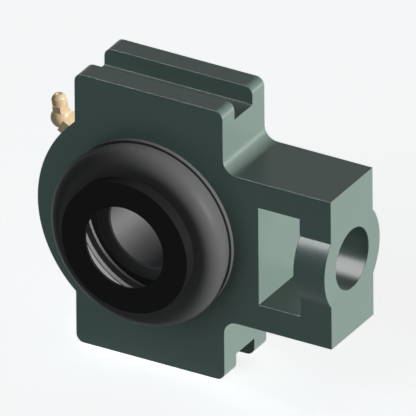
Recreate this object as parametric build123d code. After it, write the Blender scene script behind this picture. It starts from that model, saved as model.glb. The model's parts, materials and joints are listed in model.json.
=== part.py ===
from build123d import *

import os
from math import asin, atan2, cos, hypot, pi, sin, sqrt

# Take-up bearing unit for a 30 mm shaft: a cast housing that slides between two guide rails,
# a self-aligning insert bearing in its spherical seat, and a sealed cover on each side.
#
# X runs along the take-up travel, towards the adjusting screw. Y is the shaft's axis, with the
# front face and the short end of the inner ring on its minus side. Z is up. The origin is the
# centre of the spherical seat. Sizes are in millimetres and angles in degrees.

# Shaft and rolling elements
shaft_d = 30.0
ball_d = 9.525
ball_count = 9
race_gap = 0.05
race_conformity = 0.52
inner_floor = 3.1875
outer_floor = 3.1875
inner_race_depth = 1.9125
outer_race_depth = 1.9125

# Inner ring
short_overhang = 4.8
long_overhang = 12.7
bore_chamfer = 0.5
ring_chamfer = 0.4

# Cage
cage_t = 0.9
pocket_gap = 0.15
cage_side_gap = 1.1
rivet_d = 1.2
rivet_head_d = 2.4
rivet_head_h = 0.6
press_gap = 0.02

# Bearing seals and slingers, stacked outwards from the cage
seal_gap = 0.3875
seal_t = 1.2
seal_lip_gap = 0.3
seal_groove_depth = 0.6
land_step = 1.0
slinger_gap = 0.3
slinger_t = 0.9
slinger_hub_t = 0.7
slinger_hub_w = 1.8
slinger_recess = 0.9

# Set screws
screw_d = 6.0
screw_len = 5.5
screw_inset = 5.0
screw_backoff = 0.25
screw_angle = 120.0
screw_gap = 0.05
screw_socket_af = 3.0
screw_socket_depth = 2.6
screw_point_depth = 0.6

# Spherical seat and the recesses for the covers
seat_gap = 0.05
seat_margin = 2.5
cover_seat_depth = 2.0
spigot_step = 0.95
cover_gap = 0.1
slot_side_gap = 0.2
slot_floor_gap = 0.15
grease_groove_depth = 0.8
grease_groove_margin = 0.5
grease_hole_d = 1.6

# Housing casting
nose_wall = 12.8
block_len = 57.0
rail_floor = 14.3
groove_w = 12.0
groove_depth = 6.5
rail_corner_r = 3.0
root_r = 5.0
window_web = 11.8
window_len = 16.0
end_wall = 12.0
screw_hole_d = 22.0
boss_wall = 7.5
arm_wall = 9.5

# Covers and their shaft seals
cover_t = 1.2
dome_step = 1.4
flange_w = 1.0
flange_t = 1.5
cover_inner_clear = 2.8
corner_r = 5.4
corner_inset = 3.9
boss_h = 4.6
boss_width = 9.15
boss_wall_t = 1.55
lip_t = 0.9
lip_gap = 0.1
rubber_neck = 1.3
rubber_base_t = 1.2
rubber_flange_w = 1.7
rubber_flange_t = 1.0
sheet_hole_inset = 1.85

# Grease fitting, an angled one on the round end
fitting_angle = 150.0
elbow_turn = 51.0
spot_depth = 0.3
spot_d = 9.4
thread_d = 5.4
thread_len = 6.0
tap_extra = 1.0
passage_d = 2.0
fitting_af = 8.0
elbow_reach = 5.0
elbow_r = 3.8
elbow_flat = 1.5
nipple_len = 8.5
nipple_neck_af = 5.2
nipple_d = 5.2
nipple_head_len = 3.5
nipple_groove_w = 0.35
nipple_groove_depth = 0.35
nipple_shoulder_d = 4.6
nipple_shoulder_len = 0.6
nipple_tip_d = 3.0
nipple_tip_len = 0.9
nipple_spigot_d = 3.0
nipple_spigot_len = 1.5
nipple_bore_d = 2.2
nipple_mouth_d = 1.5
nipple_mouth_len = 0.6
check_ball_d = 1.8
check_gap = 0.03
spring_wire_d = 0.3
spring_turns = 5

# Length by which a cutting shape runs past the face that it cuts
over = 1.0

# Two places closer than this are the same
same_place = 1e-4

# Places that follow from the sizes above
shaft_r = shaft_d / 2
ball_r = ball_d / 2
race_r = race_conformity * ball_d
inner_race_bottom = shaft_r + inner_floor
pitch_r = inner_race_bottom + race_gap + ball_r
outer_race_bottom = pitch_r + ball_r + race_gap
sphere_r = outer_race_bottom + outer_floor
inner_race_centre = inner_race_bottom + race_r
outer_race_centre = outer_race_bottom - race_r
inner_od_r = inner_race_bottom + inner_race_depth
shoulder_r = outer_race_bottom - outer_race_depth
land_r = shoulder_r + land_step

pocket_r = ball_r + pocket_gap
cage_half_w = pocket_r + cage_t
seal_in = cage_half_w + seal_gap
seal_out = seal_in + seal_t
slinger_in = seal_out + slinger_gap
slinger_out = slinger_in + slinger_t
ring_half_w = slinger_out + slinger_recess
short_end = ring_half_w + short_overhang
long_end = ring_half_w + long_overhang

seat_r = sphere_r + seat_gap
seat_half_w = ring_half_w + seat_margin
half_plate = seat_half_w + cover_seat_depth
spigot_r = seat_r - spigot_step
recess_r = spigot_r + cover_gap
cover_wall_r = spigot_r + dome_step
nose_r = recess_r + nose_wall
block_half = block_len / 2
groove_z = recess_r + rail_floor
rail_top = groove_z + groove_depth
window_x = recess_r + window_web
end_wall_x = window_x + window_len
arm_end = end_wall_x + end_wall
screw_hole_r = screw_hole_d / 2
boss_r = screw_hole_r + boss_wall
arm_half = boss_r + arm_wall

flange_face = half_plate + flange_t
dome_face = long_end + cover_inner_clear + cover_t
boss_face = dome_face + boss_h
boss_r_out = shaft_r + boss_width
lip_r = shaft_r + lip_gap
sheet_hole_r = boss_r_out - sheet_hole_inset

race_edge = sqrt(race_r**2 - (shoulder_r - outer_race_centre) ** 2)
grease_hole_y = (race_edge + seal_in) / 2
grease_hole_r = grease_hole_d / 2
spot_r = nose_r - spot_depth
head_angle = fitting_angle - elbow_turn
neck_start = elbow_r - elbow_flat


def direction(angle):
    """Unit vector in the XZ plane, at an angle from +X towards +Z."""
    return Vector(cos(angle * pi / 180), 0, sin(angle * pi / 180))


def spoke(angle, y=0.0):
    """Plane on the shaft's axis whose Z points outwards at an angle and whose X points forwards."""
    return Plane(origin=(0, y, 0), x_dir=(0, -1, 0), z_dir=direction(angle))


def strip(r_in, r_out, y_in, y_out):
    """Rectangle in a turned part's section, between two radii and two places along the shaft."""
    size = Rectangle(abs(r_out - r_in), abs(y_out - y_in))
    return Pos((r_in + r_out) / 2, (y_in + y_out) / 2) * size


def turned(section):
    """Solid of revolution about the shaft's axis."""
    return revolve(section, Axis.Y)


def drilled(plane, radius, start, end):
    """Cylinder along a plane's Z, from one height to another."""
    return plane * Pos(0, 0, (start + end) / 2) * Cylinder(radius, end - start)


def forward(part):
    """The same piece on the front side of the unit."""
    return mirror(part, about=Plane.XZ)


def near(value, target):
    """True where two sizes agree."""
    return abs(value - target) < same_place


def housing_outline():
    """Front view of the casting: round end, guide block and screw arm."""
    nose = Circle(nose_r) & Pos(-nose_r, 0) * Rectangle(2 * nose_r, 2 * nose_r)
    block = Rectangle(2 * block_half, 2 * rail_top)
    arm = Pos(arm_end / 2, 0) * Rectangle(arm_end, 2 * arm_half)
    outline = nose + block + arm
    corners = [v for v in outline.vertices() if near(abs(v.Y), rail_top)]
    outline = fillet(corners, rail_corner_r)
    roots = [v for v in outline.vertices() if near(abs(v.Y), arm_half) and near(v.X, block_half)]
    return fillet(roots, root_r)


def bearing_seat():
    """Everything that is bored out for the bearing, as one solid."""
    section = Circle(seat_r) & strip(0, seat_r + over, -seat_half_w, seat_half_w)
    for side in (-1, 1):
        section = section + strip(0, recess_r, side * seat_half_w, side * (half_plate + over))
    groove_start = -passage_d / 2 - grease_groove_margin
    groove_end = grease_hole_y + grease_hole_r
    section = section + strip(0, seat_r + grease_groove_depth, groove_start, groove_end)
    slot_half = ring_half_w + slot_side_gap
    slot = turned(strip(0, seat_r + slot_floor_gap, 0, half_plate + over))
    slot = slot & Box(2 * slot_half, 4 * half_plate, 4 * seat_r)
    return turned(section) + slot


def fitting_holes():
    """Spot face, tapped hole and grease passage under the fitting."""
    axis = spoke(fitting_angle)
    spot = drilled(axis, spot_d / 2, spot_r, nose_r + over)
    tap = drilled(axis, thread_d / 2, spot_r - thread_len - tap_extra, nose_r)
    passage = drilled(axis, passage_d / 2, seat_r - over, nose_r)
    return spot + tap + passage


def housing():
    """The one-piece casting, with its machined seat, window, screw hole and guide grooves."""
    body = extrude(Plane.XZ * housing_outline(), half_plate, both=True)
    wall_x = (end_wall_x + arm_end) / 2
    along_x = Rot(0, 90, 0)
    body = body + Pos(wall_x, 0, 0) * along_x * Cylinder(boss_r, end_wall)
    body = body - Pos(window_x + window_len / 2, 0, 0) * Box(window_len, 4 * boss_r, 2 * boss_r)
    body = body - Pos(wall_x, 0, 0) * along_x * Cylinder(screw_hole_r, end_wall + 2 * over)
    groove = Box(4 * block_half, groove_w, 2 * groove_depth)
    for side in (-1, 1):
        body = body - Pos(0, 0, side * rail_top) * groove
    return body - bearing_seat() - fitting_holes()


def outer_ring():
    """Ring with a spherical outside, a raceway, and a groove for each bearing seal."""
    section = Circle(sphere_r) & strip(shoulder_r, sphere_r + over, -ring_half_w, ring_half_w)
    section = section - Pos(outer_race_centre, 0) * Circle(race_r)
    for side in (-1, 1):
        section = section - strip(shoulder_r - over, land_r, side * seal_in, side * (ring_half_w + over))
        groove_r = land_r + seal_groove_depth
        section = section - strip(shoulder_r, groove_r, side * seal_in, side * seal_out)
    rim = sqrt(sphere_r**2 - ring_half_w**2)
    section = chamfer([v for v in section.vertices() if near(v.X, rim)], ring_chamfer)
    hole = drilled(spoke(fitting_angle, grease_hole_y), grease_hole_r, pitch_r, sphere_r + over)
    return turned(section) - hole


def inner_ring():
    """Ring with the shaft's bore, a raceway, and two tapped holes in its long end."""
    section = strip(shaft_r, inner_od_r, -short_end, long_end)
    section = section - Pos(inner_race_centre, 0) * Circle(race_r)
    ends = [v for v in section.vertices() if near(v.Y, -short_end) or near(v.Y, long_end)]
    section = chamfer([v for v in ends if near(v.X, shaft_r)], bore_chamfer)
    ends = [v for v in section.vertices() if near(v.Y, -short_end) or near(v.Y, long_end)]
    section = chamfer([v for v in ends if near(v.X, inner_od_r)], ring_chamfer)
    ring = turned(section)
    for angle in set_screw_angles():
        ring = ring - drilled(set_screw_plane(angle), screw_d / 2 + screw_gap, 0, inner_od_r + over)
    return ring


def set_screw_angles():
    return [90.0, 90.0 - screw_angle]


def set_screw_plane(angle):
    return spoke(angle, long_end - screw_inset)


def set_screw(angle):
    """Socket set screw with a cup point, backed off just clear of the shaft."""
    axis = set_screw_plane(angle)
    tip = shaft_r + screw_backoff
    top = tip + screw_len
    body = chamfer(drilled(axis, screw_d / 2, tip, top).edges(), screw_point_depth)
    socket = RegularPolygon(screw_socket_af / 2, 6, major_radius=False)
    socket = extrude(axis * Pos(0, 0, top - screw_socket_depth) * socket, screw_socket_depth + over)
    return body - socket


def set_screws():
    return Compound([set_screw(angle).solid() for angle in set_screw_angles()])


def bearing_seal():
    """Steel-backed rubber seal, snapped into the outer ring and lipped towards the inner one."""
    groove_r = land_r + seal_groove_depth - race_gap
    plate = strip(inner_od_r + 2 * seal_lip_gap, groove_r, seal_in, seal_out)
    lip = strip(inner_od_r + seal_lip_gap, inner_od_r + 3 * seal_lip_gap, seal_in, seal_in + seal_t / 2)
    return turned(plate + lip)


def slinger():
    """Pressed ring on the inner ring that covers the seal and turns with the shaft."""
    hub_r = inner_od_r + press_gap
    hub = strip(hub_r, hub_r + slinger_hub_t, slinger_in, slinger_in + slinger_hub_w)
    disc = strip(hub_r, land_r - slinger_gap, slinger_in, slinger_out)
    return turned(hub + disc)


def ball_angles():
    return [90.0 + i * 360.0 / ball_count for i in range(ball_count)]


def at_pitch(angle):
    """Move from the shaft's axis to a place on the pitch circle."""
    return Pos(*(pitch_r * direction(angle)))


def ball(angle):
    return at_pitch(angle) * Sphere(ball_r)


def rivet_angles():
    return [angle + 180.0 / ball_count for angle in ball_angles()]


def cage_half():
    """Pressed ribbon half: a flat ring with a bulged pocket round each ball."""
    inside = inner_od_r + cage_side_gap
    outside = shoulder_r - cage_side_gap
    ribbon = turned(strip(inside, outside, 0, cage_t))
    band = turned(strip(inside, outside, 0, cage_half_w + over))
    for angle in ball_angles():
        ribbon = ribbon + (at_pitch(angle) * Sphere(cage_half_w) & band)
    for angle in ball_angles():
        ribbon = ribbon - at_pitch(angle) * Sphere(pocket_r)
    hole = turned(strip(0, rivet_d / 2 + press_gap, -over, cage_t + over))
    for angle in rivet_angles():
        ribbon = ribbon - at_pitch(angle) * hole
    return ribbon


def cage_rivet(angle):
    """Rivet through both halves of the cage, with a head on each side."""
    top = cage_t + rivet_head_h
    head = strip(0, rivet_head_d / 2, cage_t, top)
    rim = [v for v in head.vertices() if near(v.Y, top) and near(v.X, rivet_head_d / 2)]
    head = chamfer(rim, rivet_head_h / 2)
    half = turned(head + strip(0, rivet_d / 2, 0, cage_t))
    return at_pitch(angle) * (half + forward(half))


def cage_rivets():
    return Compound([cage_rivet(angle).solid() for angle in rivet_angles()])


def dome_fill(inset):
    """Filled section of the cover's dome, moved inwards by an inset."""
    wall = cover_wall_r - inset
    radius = corner_r - inset
    centre = (cover_wall_r - corner_inset, dome_face - corner_r)
    reach = (centre[0] - wall, centre[1] - flange_face)
    lean = atan2(reach[1], reach[0]) - asin(radius / hypot(*reach))
    length = sqrt(hypot(*reach) ** 2 - radius**2)
    touch = (wall + length * cos(lean), flange_face + length * sin(lean))
    start = half_plate if inset == 0 else half_plate - over
    top = dome_face - inset
    points = [(0, start), (wall, start), (wall, flange_face), touch, centre, (centre[0], top), (0, top)]
    return make_face(Polyline(*points, close=True)) + Pos(*centre) * Circle(radius)


def cover():
    """Pressed cover on the back: spigot, flange, bulged dome and a hole for the shaft's seal."""
    section = dome_fill(0) - dome_fill(cover_t)
    section = section - strip(0, sheet_hole_r, 0, dome_face + over)
    spigot_in = spigot_r - cover_t
    section = section + strip(spigot_in, cover_wall_r + flange_w, half_plate, flange_face)
    section = section + strip(spigot_in, spigot_r, seat_half_w + cover_gap, half_plate)
    return turned(section)


def cover_seal():
    """Rubber ring that snaps into the back cover's hole and seals on the shaft with its lip."""
    inside = dome_face - cover_t
    neck_r = sheet_hole_r - rubber_neck
    base = strip(neck_r, boss_r_out, dome_face, dome_face + rubber_base_t)
    wall = strip(boss_r_out - boss_wall_t, boss_r_out, dome_face, boss_face)
    lip = strip(lip_r, boss_r_out, boss_face - lip_t, boss_face)
    neck = strip(neck_r, sheet_hole_r - press_gap, inside, dome_face)
    flange = strip(neck_r, sheet_hole_r + rubber_flange_w, inside - rubber_flange_t, inside)
    return turned(base + wall + lip + neck + flange)


def elbow_centre():
    return (spot_r + spot_depth + elbow_reach) * direction(fitting_angle)


def head_plane():
    """Plane at the elbow's centre whose Z runs along the nipple."""
    return Plane(origin=elbow_centre(), x_dir=(0, -1, 0), z_dir=direction(head_angle))


def hex_bar(plane, flats, start, end):
    """Hexagon along a plane's Z, with two of its flats facing along the plane's X."""
    shape = RegularPolygon(flats / 2, 6, major_radius=False, rotation=30)
    return extrude(plane * Pos(0, 0, start) * shape, end - start)


def fitting_elbow():
    """Threaded shank, hexagon and round elbow of the grease fitting."""
    axis = spoke(fitting_angle)
    head = head_plane()
    centre = nose_r + elbow_reach
    body = drilled(axis, (thread_d - 2 * screw_gap) / 2, spot_r - thread_len, spot_r)
    body = body + hex_bar(axis, fitting_af, spot_r, centre - elbow_r / 2)
    body = body + Pos(*elbow_centre()) * Sphere(elbow_r)
    body = body - drilled(axis, passage_d / 2, spot_r - thread_len - over, centre)
    body = body - drilled(head, elbow_r, neck_start, elbow_r + over)
    body = body - drilled(head, nipple_spigot_d / 2 + press_gap, neck_start - nipple_spigot_len, elbow_r)
    return body - drilled(head, nipple_bore_d / 2, 0, elbow_r)


def grease_nipple():
    """Nipple with a hexagon, a gripping groove and a coned tip round its inlet."""
    head = head_plane()
    top = nipple_len
    head_base = top - nipple_head_len
    shoulder = top - nipple_tip_len
    section = Polyline(
        (0, neck_start - nipple_spigot_len),
        (nipple_spigot_d / 2, neck_start - nipple_spigot_len),
        (nipple_spigot_d / 2, head_base - nipple_groove_w),
        (nipple_d / 2 - nipple_groove_depth, head_base - nipple_groove_w),
        (nipple_d / 2 - nipple_groove_depth, head_base),
        (nipple_d / 2, head_base),
        (nipple_d / 2, shoulder - nipple_shoulder_len),
        (nipple_shoulder_d / 2, shoulder),
        (nipple_tip_d / 2, top),
        (0, top),
        close=True,
    )
    lathe = Plane(origin=head.origin, x_dir=head.x_dir, z_dir=head.z_dir.cross(head.x_dir) * -1)
    body = revolve(lathe * make_face(section), Axis(head.origin, head.z_dir))
    body = body + hex_bar(head, nipple_neck_af, neck_start, head_base - nipple_groove_w)
    bore_end = top - nipple_mouth_len
    body = body - drilled(head, nipple_bore_d / 2, neck_start - nipple_spigot_len - over, bore_end)
    return body - drilled(head, nipple_mouth_d / 2, bore_end - over, top + over)


def check_ball_height():
    """Height of the check ball's centre when it closes the inlet."""
    seat_drop = sqrt((check_ball_d / 2) ** 2 - (nipple_mouth_d / 2) ** 2)
    return nipple_len - nipple_mouth_len - seat_drop - check_gap


def check_ball():
    return head_plane() * Pos(0, 0, check_ball_height()) * Sphere(check_ball_d / 2)


def check_spring():
    """Coil spring under the check ball, standing on the elbow's floor."""
    head = head_plane()
    start = spring_wire_d
    height = check_ball_height() - check_ball_d / 2 - spring_wire_d / 2 - check_gap - start
    coil_r = nipple_bore_d / 2 - spring_wire_d
    coil = Helix(height / spring_turns, height, coil_r)
    wire = sweep(Plane(origin=coil @ 0, z_dir=coil % 0) * Circle(spring_wire_d / 2), coil, is_frenet=True)
    return head * Pos(0, 0, start) * wire


parts = {
    "housing": housing(),
    "outer_ring": outer_ring(),
    "inner_ring": inner_ring(),
    "set_screws": set_screws(),
    "bearing_seal_back": bearing_seal(),
    "bearing_seal_front": forward(bearing_seal()),
    "slinger_back": slinger(),
    "slinger_front": forward(slinger()),
    "cage_back": cage_half(),
    "cage_front": forward(cage_half()),
    "cage_rivets": cage_rivets(),
    "cover_back": cover(),
    "cover_front": forward(cover()),
    "cover_seal_back": cover_seal(),
    "cover_seal_front": forward(cover_seal()),
    "grease_fitting_elbow": fitting_elbow(),
    "grease_nipple": grease_nipple(),
    "grease_check_ball": check_ball(),
    "grease_check_spring": check_spring(),
}
for number, angle in enumerate(ball_angles(), start=1):
    parts[f"ball_{number}"] = ball(angle)

os.makedirs("parts", exist_ok=True)
for name, part in parts.items():
    export_step(part, f"parts/{name}.step")
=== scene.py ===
import json
import math

import bmesh
import bpy
from mathutils import Matrix, Vector


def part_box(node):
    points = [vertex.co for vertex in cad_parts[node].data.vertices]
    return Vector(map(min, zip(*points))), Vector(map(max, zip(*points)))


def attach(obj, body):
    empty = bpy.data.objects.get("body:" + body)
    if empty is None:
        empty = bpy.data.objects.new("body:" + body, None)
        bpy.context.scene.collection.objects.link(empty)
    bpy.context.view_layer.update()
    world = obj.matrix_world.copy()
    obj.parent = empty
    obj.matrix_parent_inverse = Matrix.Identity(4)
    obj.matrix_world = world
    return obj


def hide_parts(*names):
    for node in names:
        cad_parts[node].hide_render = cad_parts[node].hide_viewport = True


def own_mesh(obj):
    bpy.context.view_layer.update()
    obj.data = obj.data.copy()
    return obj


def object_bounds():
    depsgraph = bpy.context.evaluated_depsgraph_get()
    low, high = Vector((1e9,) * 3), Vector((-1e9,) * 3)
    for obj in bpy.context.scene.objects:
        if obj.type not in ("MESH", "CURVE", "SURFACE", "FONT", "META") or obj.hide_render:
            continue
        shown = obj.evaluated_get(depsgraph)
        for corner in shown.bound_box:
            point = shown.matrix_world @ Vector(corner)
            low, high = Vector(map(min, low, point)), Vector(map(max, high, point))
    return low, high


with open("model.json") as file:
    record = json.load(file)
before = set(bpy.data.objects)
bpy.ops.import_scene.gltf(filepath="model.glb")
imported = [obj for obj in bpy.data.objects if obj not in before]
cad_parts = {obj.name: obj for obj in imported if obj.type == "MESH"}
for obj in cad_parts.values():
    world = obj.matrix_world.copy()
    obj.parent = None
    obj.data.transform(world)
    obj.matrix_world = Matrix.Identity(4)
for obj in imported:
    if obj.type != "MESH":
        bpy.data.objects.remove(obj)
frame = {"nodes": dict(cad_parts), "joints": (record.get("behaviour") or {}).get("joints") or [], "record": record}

cad_low, cad_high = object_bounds()

MM = 0.001

# Camera: degrees round, above and rolled, the width of its frame, and where it aims from the origin
VIEW_AZIMUTH = 30.20
VIEW_ELEVATION = 28.84
VIEW_ROLL = -0.45
FRAME_WIDTH = 138.78 * MM
AIM_RIGHT = 12.57 * MM
AIM_UP = 0.27 * MM
CAMERA_DISTANCE = 0.6

# Studio: each lamp's strength, the direction that it shines from and its spread in degrees. The key
# lamp stands on the adjusting screw's side and the soft cool fill in front. They light all but the
# covers and the fitting, which have a lamp each. The casting's box shows only as sheen.
KEY_STRENGTH = 6.4
KEY_FROM = (0.83, 0.55, 0.02)
KEY_SPREAD = 8.0
FILL_STRENGTH = 0.6
FILL_FROM = (-0.44, -0.80, 0.40)
FILL_SPREAD = 60.0
FILL_COLOR = (0.62, 0.93, 1.0)
CASTING_BOX_STRENGTH = 32.0
CASTING_BOX_FROM = (-0.44, -0.38, 0.81)
CASTING_BOX_SPREAD = 56.0
COVER_LAMP_STRENGTH = 6.9
COVER_LAMP_FROM = (0.90, 0.03, 0.42)
COVER_LAMP_SPREAD = 30.0
FITTING_LAMP_STRENGTH = 3.2
FITTING_LAMP_FROM = (0.88, 0.02, 0.47)
FITTING_LAMP_SPREAD = 8.0
AIR_STRENGTH = 0.06
FLOOR_SIZE = 6.0
FLOOR_GLOW = 0.78
CASTING_NODES = ["housing"]
COVER_NODES = ["cover_front", "cover_back", "cover_seal_front", "cover_seal_back"]
FITTING_NODES = ["grease_fitting_elbow", "grease_nipple"]

# Colours, as sRGB numbers from 0 to 255
HOUSING_PAINT = (101, 117, 110)
BARE_IRON = (122, 128, 124)
SEAT_IRON = (112, 112, 112)
COVER_PAINT = (76, 76, 76)
SEAL_RUBBER = (24, 24, 24)
RING_STEEL = (84, 84, 85)
DARK_STEEL = (46, 46, 47)
PRESSED_STEEL = (120, 120, 120)
BALL_STEEL = (196, 197, 200)
BRASS = (244, 218, 180)
BRASS_SHADE = (204, 166, 120)
FLOOR_PAINT = (228, 228, 228)

# Roughness, strength of reflection (gloss) and share of metal. The rubber takes the covers' values.
CASTING_ROUGHNESS = 0.30
CASTING_GLOSS = 0.12
COVER_ROUGHNESS = 0.36
COVER_GLOSS = 0.04
BALL_ROUGHNESS = 0.08
BRASS_ROUGHNESS = 0.36
BRASS_GLOSS = 0.08
BRASS_METAL = 0.08

# What the noise adds to the roughness of paint and rubber (coat) and of the metals, and what worn
# edges take off it
COAT_ROUGHENS = 0.06
WEAR_SMOOTHS = 0.04
LINES_ROUGHEN = 0.1
BALL_HAZE_ROUGHENS = 0.05
BRASS_HAZE_ROUGHENS = 0.08

# How far worn edges go to bare metal, rubber to its bloom and brass to its shade, from 0 to 1
CASTING_WEAR = 0.5
COVER_WEAR = 0.25
RUBBER_BLOOM = 0.4
BRASS_TARNISH = 0.4

# The casting's bumps: the share of its coarse skin, with the rest left to its fine grain
SKIN_SHARE = 0.7

# Noise squeezed along X, Y and Z: 1 leaves it as it is, and less draws it out into lines
EVEN = (1.0, 1.0, 1.0)
RING_LINES = (0.02, 1.0, 0.02)
SLINGER_LINES = (0.3, 1.0, 0.3)
TURNED_LINES = (0.3, 0.3, 1.0)

# Edges: rays that look for them, and how far a rounded normal leans away where wear starts and is full
BEVEL_SAMPLES = 6
WEAR_STARTS = 0.02
WEAR_FULL = 0.25

# Radii and length inside which the casting and the covers are left bare, and how soft that border is
SEAT_EDGE = 31.3 * MM
SPIGOT_EDGE = 30.4 * MM
SPIGOT_END = 15.3 * MM
BARE_BORDER = 0.1 * MM

# Sockets of the mix node when it mixes colours
MIX_FACTOR, MIX_FIRST, MIX_SECOND, MIX_RESULT = 0, 6, 7, 2

# Check spring: radii of its coil and wire, its length between wire centres, and its place under the ball
SPRING_COIL_R = 0.8 * MM
SPRING_WIRE_R = 0.15 * MM
SPRING_LENGTH = 5.99 * MM
BALL_TO_SPRING = 1.08 * MM
SPRING_TURNS = 5
SPRING_STEPS = 24
SPRING_SIDES = 10


def linear(color):
    """The linear values that a shader takes, from sRGB numbers."""
    values = [c / 255 for c in color]
    return [v / 12.92 if v < 0.04045 else ((v + 0.055) / 1.055) ** 2.4 for v in values] + [1.0]


class Value:
    """A number, vector or colour inside a finish, with its maths written as Python expressions."""

    def __init__(self, finish, socket):
        self.finish = finish
        self.socket = socket

    def __add__(self, other):
        return self.finish.maths("ADD", self, other)

    def __radd__(self, other):
        return self.finish.maths("ADD", other, self)

    def __sub__(self, other):
        return self.finish.maths("SUBTRACT", self, other)

    def __rsub__(self, other):
        return self.finish.maths("SUBTRACT", other, self)

    def __mul__(self, other):
        return self.finish.maths("MULTIPLY", self, other)

    def __rmul__(self, other):
        return self.finish.maths("MULTIPLY", other, self)

    def __pow__(self, other):
        return self.finish.maths("POWER", self, other)

    def __rpow__(self, other):
        return self.finish.maths("POWER", other, self)


class Finish:
    """A material, or the world, with one method that adds any node to it."""

    def __init__(self, name, kind="materials"):
        self.owner = getattr(bpy.data, kind).new(name)
        self.owner.use_nodes = True
        self.tree = self.owner.node_tree
        self.tree.nodes.clear()

    def node(self, kind, settings=None, inputs=None, output=0):
        made = self.tree.nodes.new(kind)
        for name, setting in (settings or {}).items():
            setattr(made, name, setting)
        for name, value in (inputs or {}).items():
            if isinstance(value, Value):
                self.tree.links.new(value.socket, made.inputs[name])
            else:
                made.inputs[name].default_value = value
        return Value(self, made.outputs[output])

    def maths(self, operation, first, second):
        return self.node("ShaderNodeMath", {"operation": operation}, {0: first, 1: second})

    def place(self):
        """Place in the object's own coordinates."""
        return self.node("ShaderNodeTexCoord", output="Object")

    def noise(self, scale, detail=3.0, roughness=0.5, along=EVEN):
        """Noise from 0 to 1 with so many features in a metre, drawn out along an axis by a small factor."""
        place = self.node("ShaderNodeMapping", {}, {"Vector": self.place(), "Scale": along})
        values = {"Vector": place, "Scale": scale, "Detail": detail, "Roughness": roughness}
        return self.node("ShaderNodeTexNoise", {}, values)

    def ramp(self, value, low, high):
        """0 below low, 1 above high and smooth between."""
        values = {"Value": value, "From Min": low, "From Max": high}
        return self.node("ShaderNodeMapRange", {"interpolation_type": "SMOOTHSTEP"}, values)

    def axis(self, name):
        """Place along X, Y or Z."""
        return self.node("ShaderNodeSeparateXYZ", {}, {"Vector": self.place()}, name)

    def from_shaft(self):
        """Distance from the shaft's axis."""
        return (self.axis("X") ** 2 + self.axis("Z") ** 2) ** 0.5

    def from_middle(self):
        """Distance along the shaft from the middle of the unit."""
        return (self.axis("Y") ** 2) ** 0.5

    def beyond(self, size, limit):
        """0 where a distance is under a limit, and 1 where it is past it."""
        return self.ramp(size, limit, limit + BARE_BORDER)

    def between(self, factor, first, second):
        """Colour that goes from the first to the second as the factor goes from 0 to 1."""
        first, second = [c if isinstance(c, Value) else linear(c) for c in (first, second)]
        values = {MIX_FACTOR: factor, MIX_FIRST: first, MIX_SECOND: second}
        return self.node("ShaderNodeMix", {"data_type": "RGBA"}, values, MIX_RESULT)

    def mottled(self, factor, color, darker, lighter):
        """Colour that goes from so much darker to so much lighter as the factor goes from 0 to 1."""
        return self.between(factor, [c - darker for c in color], [c + lighter for c in color])

    def rounded(self, radius):
        """Normal of the surface with its sharp edges rounded to a radius."""
        return self.node("ShaderNodeBevel", {"samples": BEVEL_SAMPLES}, {"Radius": radius})

    def worn_edges(self, radius, scale, low, high):
        """0 on open faces, and rising to 1 in patches along the edges."""
        normal = self.node("ShaderNodeNewGeometry", output="Normal")
        pair = {0: self.rounded(radius), 1: normal}
        lean = self.node("ShaderNodeVectorMath", {"operation": "DOT_PRODUCT"}, pair, "Value")
        return self.ramp(1 - lean, WEAR_STARTS, WEAR_FULL) * self.ramp(self.noise(scale), low, high)

    def bumps(self, height, distance, radius):
        """Normal of a slightly uneven surface, with its sharp edges rounded to a radius."""
        values = {"Height": height, "Distance": distance, "Normal": self.rounded(radius)}
        return self.node("ShaderNodeBump", {}, values)

    def surface(self, color, roughness, normal, **constants):
        """Closes the material with its shader. Constants are the sockets that are the same all over."""
        values = {"Base Color": color, "Roughness": roughness, "Normal": normal}
        values.update({name.replace("_", " "): value for name, value in constants.items()})
        return self.closed(self.node("ShaderNodeBsdfPrincipled", {}, values))

    def closed(self, shader, output="ShaderNodeOutputMaterial"):
        """Joins a shader to the output, and gives back the material or the world."""
        end = self.tree.nodes.new(output)
        self.tree.links.new(shader.socket, end.inputs["Surface"])
        return self.owner


def housing_paint():
    """Grey-green enamel on a fine sand casting, rubbed thin along the edges and bare in the seat."""
    finish = Finish("housing_paint")
    clouds = finish.noise(scale=38, detail=4)
    grain = finish.noise(scale=1500, detail=2, roughness=0.6)
    skin = finish.noise(scale=420, detail=2)
    worn = finish.worn_edges(radius=0.45 * MM, scale=260, low=0.42, high=0.7)
    tint = finish.mottled(clouds, HOUSING_PAINT, darker=3, lighter=3)
    paint = finish.between(worn * CASTING_WEAR, tint, BARE_IRON)
    painted = finish.beyond(finish.from_shaft(), SEAT_EDGE)
    color = finish.between(painted, SEAT_IRON, paint)
    roughness = CASTING_ROUGHNESS + grain * COAT_ROUGHENS - worn * WEAR_SMOOTHS
    height = skin * SKIN_SHARE + grain * (1 - SKIN_SHARE)
    normal = finish.bumps(height, distance=0.03 * MM, radius=0.35 * MM)
    return finish.surface(color, roughness, normal, Specular_IOR_Level=CASTING_GLOSS)


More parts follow.
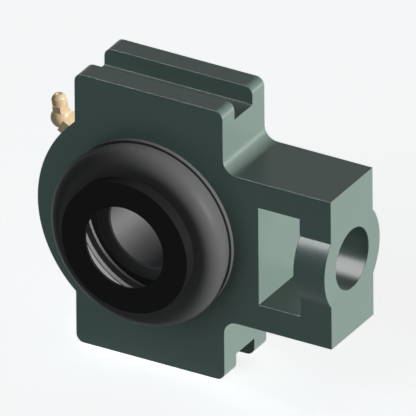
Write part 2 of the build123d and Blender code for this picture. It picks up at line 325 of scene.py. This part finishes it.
def cover_paint():
    """Black enamel on pressed sheet, with the spigot left bare where it fits the housing."""
    finish = Finish("cover_paint")
    clouds = finish.noise(scale=60, detail=3)
    grain = finish.noise(scale=1800, detail=2)
    worn = finish.worn_edges(radius=0.3 * MM, scale=300, low=0.45, high=0.75)
    tint = finish.mottled(clouds, COVER_PAINT, darker=2, lighter=2)
    paint = finish.between(worn * COVER_WEAR, tint, SEAT_IRON)
    past_end = finish.beyond(finish.from_middle(), SPIGOT_END)
    painted = past_end + finish.beyond(finish.from_shaft(), SPIGOT_EDGE) * (1 - past_end)
    color = finish.between(painted, SEAT_IRON, paint)
    roughness = COVER_ROUGHNESS + grain * COAT_ROUGHENS
    normal = finish.bumps(grain, distance=0.006 * MM, radius=0.25 * MM)
    return finish.surface(color, roughness, normal, Specular_IOR_Level=COVER_GLOSS)


def rubber(name):
    """Moulded rubber, matt with a fine grain and a slight bloom."""
    finish = Finish(name)
    grain = finish.noise(scale=2400, detail=2)
    bloom = finish.ramp(finish.noise(scale=110, detail=4), low=0.4, high=0.8)
    tint = finish.mottled(bloom * RUBBER_BLOOM, SEAL_RUBBER, darker=0, lighter=8)
    roughness = COVER_ROUGHNESS + bloom * COAT_ROUGHENS
    normal = finish.bumps(grain, distance=0.01 * MM, radius=0.2 * MM)
    return finish.surface(tint, roughness, normal, Specular_IOR_Level=COVER_GLOSS)


def ground_steel(name, color, roughness, along=EVEN):
    """Ground or pressed steel with fine marks, which can be drawn out into lines round the shaft."""
    finish = Finish(name)
    lines = finish.noise(scale=9000, detail=2, along=along)
    clouds = finish.noise(scale=90, detail=3)
    tint = finish.mottled(lines * 0.5 + clouds * 0.5, color, darker=8, lighter=8)
    normal = finish.bumps(lines, distance=0.004 * MM, radius=0.15 * MM)
    return finish.surface(tint, roughness + lines * LINES_ROUGHEN, normal, Metallic=1.0)


def polished_steel():
    """Bearing steel, lapped bright."""
    finish = Finish("ball_steel")
    haze = finish.noise(scale=500, detail=3)
    tint = finish.mottled(haze, BALL_STEEL, darker=6, lighter=0)
    roughness = BALL_ROUGHNESS + haze * BALL_HAZE_ROUGHENS
    normal = finish.bumps(haze, distance=0.0005 * MM, radius=0.05 * MM)
    return finish.surface(tint, roughness, normal, Metallic=1.0)


def turned_brass():
    """Turned brass that has gone dull, with darker clouds."""
    finish = Finish("brass")
    haze = finish.noise(scale=900, detail=4)
    lines = finish.noise(scale=5000, detail=2, along=TURNED_LINES)
    tint = finish.between(finish.ramp(haze, low=0.3, high=0.9) * BRASS_TARNISH, BRASS, BRASS_SHADE)
    roughness = BRASS_ROUGHNESS + haze * BRASS_HAZE_ROUGHENS
    normal = finish.bumps(lines, distance=0.001 * MM, radius=0.06 * MM)
    return finish.surface(tint, roughness, normal, Metallic=BRASS_METAL, Specular_IOR_Level=BRASS_GLOSS)


def studio_floor():
    """White to the camera and in reflections, with the object's shadow kept."""
    finish = Finish("studio_floor")
    seen = seen_rays(finish, "Is Camera Ray", "Is Glossy Ray", "Is Transmission Ray")
    paper = finish.node("ShaderNodeBsdfDiffuse", {}, {"Color": linear(FLOOR_PAINT)})
    glow = finish.node("ShaderNodeEmission", {}, {"Strength": FLOOR_GLOW})
    lit = finish.node("ShaderNodeAddShader", {}, {0: paper, 1: glow})
    return finish.closed(finish.node("ShaderNodeMixShader", {}, {0: seen, 1: paper, 2: lit}))


def seen_rays(finish, first, *others):
    """1 for rays of any of these kinds, and 0 for the rest, which only carry light."""
    seen = finish.node("ShaderNodeLightPath", output=first)
    for kind in others:
        seen = finish.maths("MAXIMUM", seen, finish.node("ShaderNodeLightPath", output=kind))
    return seen


def studio_air():
    """The world: dim for lighting, white where it is seen."""
    air = Finish("studio_air", "worlds")
    seen = seen_rays(air, "Is Camera Ray", "Is Glossy Ray")
    level = air.node("ShaderNodeMapRange", {}, {"Value": seen, "To Min": AIR_STRENGTH})
    shade = air.node("ShaderNodeBackground", {}, {"Color": (1, 1, 1, 1), "Strength": level})
    bpy.context.scene.world = air.closed(shade, "ShaderNodeOutputWorld")


def dress(finishes):
    """Gives each CAD node the finish of its material slot."""
    for entry in frame["record"]["subparts"]:
        node = frame["nodes"][entry["node"]]
        node.data.materials.clear()
        node.data.materials.append(finishes[entry["material_slot"]])


def finished(name, shape, material):
    """Object made from a bmesh, which is then freed."""
    mesh = bpy.data.meshes.new(name)
    shape.to_mesh(mesh)
    shape.free()
    mesh.materials.append(material)
    made = bpy.data.objects.new(name, mesh)
    bpy.context.collection.objects.link(made)
    return made


def check_spring(material):
    """Coil spring inside the grease nipple, standing under the check ball."""
    slide = next(joint for joint in frame["joints"] if joint["name"] == "check_ball_slide")
    outward = -Vector(slide["axis"])
    low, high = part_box("grease_check_ball")
    foot = (Vector(low) + Vector(high)) / 2 - outward * (BALL_TO_SPRING + SPRING_LENGTH)
    coil = bmesh.new()
    bmesh.ops.create_circle(coil, cap_ends=True, segments=SPRING_SIDES, radius=SPRING_WIRE_R)
    bmesh.ops.rotate(coil, verts=coil.verts, matrix=Matrix.Rotation(math.pi / 2, 3, "X"))
    bmesh.ops.translate(coil, verts=coil.verts, vec=(SPRING_COIL_R, 0, 0))
    steps = SPRING_TURNS * SPRING_STEPS
    bmesh.ops.spin(coil, geom=coil.verts[:] + coil.edges[:] + coil.faces[:], axis=(0, 0, 1),
                   dvec=(0, 0, SPRING_LENGTH / steps), angle=2 * math.pi * SPRING_TURNS, steps=steps)
    upright = outward.to_track_quat("Z", "Y").to_matrix().to_4x4()
    bmesh.ops.transform(coil, verts=coil.verts, matrix=Matrix.Translation(foot) @ upright)
    bmesh.ops.recalc_face_normals(coil, faces=coil.faces)
    for face in coil.faces:
        face.smooth = True
    spring = finished("check_spring", coil, material)
    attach(spring, "housing")
    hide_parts("grease_check_spring")
    1 - slide["range_m"][1] / SPRING_LENGTH
    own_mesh(spring)


def lay_floor():
    """Floor just under the unit, for the studio alone."""
    plate = bmesh.new()
    bmesh.ops.create_grid(plate, x_segments=1, y_segments=1, size=FLOOR_SIZE / 2)
    bmesh.ops.translate(plate, verts=plate.verts, vec=(0, 0, cad_low.z))
    finished("floor", plate, studio_floor())


def hang_lamp(name, strength, source, spread, color=(1.0, 1.0, 1.0), shadow=False):
    """Lamp that shines from a direction, with a spread in degrees."""
    lamp = bpy.data.lights.new(name, "SUN")
    lamp.energy = strength
    lamp.angle = math.radians(spread)
    lamp.color = color
    lamp.use_shadow = shadow
    holder = bpy.data.objects.new(name, lamp)
    holder.rotation_euler = Vector(source).to_track_quat("Z", "Y").to_euler()
    bpy.context.collection.objects.link(holder)
    return holder


def aim_lamp(holder, nodes, state="INCLUDE"):
    """Lets a lamp light some nodes alone, or all but them with a state of EXCLUDE."""
    pieces = bpy.data.collections.new(holder.name)
    for node in nodes:
        pieces.objects.link(frame["nodes"][node])
    for entry in pieces.collection_objects:
        entry.light_linking.link_state = state
    holder.light_linking.receiver_collection = pieces


def hang_lamps():
    """Hangs the five lamps, and sets each to the pieces that it lights."""
    key = hang_lamp("key_lamp", KEY_STRENGTH, KEY_FROM, KEY_SPREAD)
    fill = hang_lamp("fill_lamp", FILL_STRENGTH, FILL_FROM, FILL_SPREAD, FILL_COLOR, shadow=True)
    fitting = hang_lamp("fitting_lamp", FITTING_LAMP_STRENGTH, FITTING_LAMP_FROM, FITTING_LAMP_SPREAD)
    sheen = hang_lamp("casting_box", CASTING_BOX_STRENGTH, CASTING_BOX_FROM, CASTING_BOX_SPREAD)
    cover = hang_lamp("cover_lamp", COVER_LAMP_STRENGTH, COVER_LAMP_FROM, COVER_LAMP_SPREAD)
    sheen.visible_diffuse = False
    aim_lamp(key, FITTING_NODES + COVER_NODES, "EXCLUDE")
    aim_lamp(fill, FITTING_NODES + COVER_NODES, "EXCLUDE")
    aim_lamp(fitting, FITTING_NODES)
    aim_lamp(sheen, CASTING_NODES)
    aim_lamp(cover, COVER_NODES)


def place_camera():
    """Parallel view that looks at the unit as the photo does."""
    azimuth, elevation = math.radians(VIEW_AZIMUTH), math.radians(VIEW_ELEVATION)
    flat = Vector((math.sin(azimuth), -math.cos(azimuth), 0))
    back = flat * math.cos(elevation) + Vector((0, 0, math.sin(elevation)))
    right = Vector((math.cos(azimuth), math.sin(azimuth), 0))
    up = back.cross(right)
    lens = bpy.data.cameras.new("camera")
    lens.type = "ORTHO"
    lens.ortho_scale = FRAME_WIDTH
    camera = bpy.data.objects.new("camera", lens)
    turn = Matrix((right, up, back)).transposed().to_4x4()
    aim = Matrix.Translation(right * AIM_RIGHT + up * AIM_UP + back * CAMERA_DISTANCE)
    camera.matrix_world = aim @ turn @ Matrix.Rotation(math.radians(VIEW_ROLL), 4, "Z")
    bpy.context.collection.objects.link(camera)
    bpy.context.scene.camera = camera


spring_steel = ground_steel("spring_steel", PRESSED_STEEL, roughness=0.3)
dress({
    "housing_paint": housing_paint(),
    "cover_paint": cover_paint(),
    "shaft_seal_rubber": rubber("shaft_seal_rubber"),
    "bearing_seal_rubber": rubber("bearing_seal_rubber"),
    "bearing_steel": ground_steel("bearing_steel", RING_STEEL, roughness=0.7, along=RING_LINES),
    "black_oxide_steel": ground_steel("black_oxide_steel", DARK_STEEL, roughness=0.4),
    "slinger_steel": ground_steel("slinger_steel", DARK_STEEL, roughness=0.4, along=SLINGER_LINES),
    "cage_steel": ground_steel("cage_steel", PRESSED_STEEL, roughness=0.35),
    "spring_steel": spring_steel,
    "ball_steel": polished_steel(),
    "brass": turned_brass(),
})
check_spring(spring_steel)
lay_floor()
studio_air()
hang_lamps()
place_camera()
bpy.context.scene.view_settings.view_transform = "Standard"
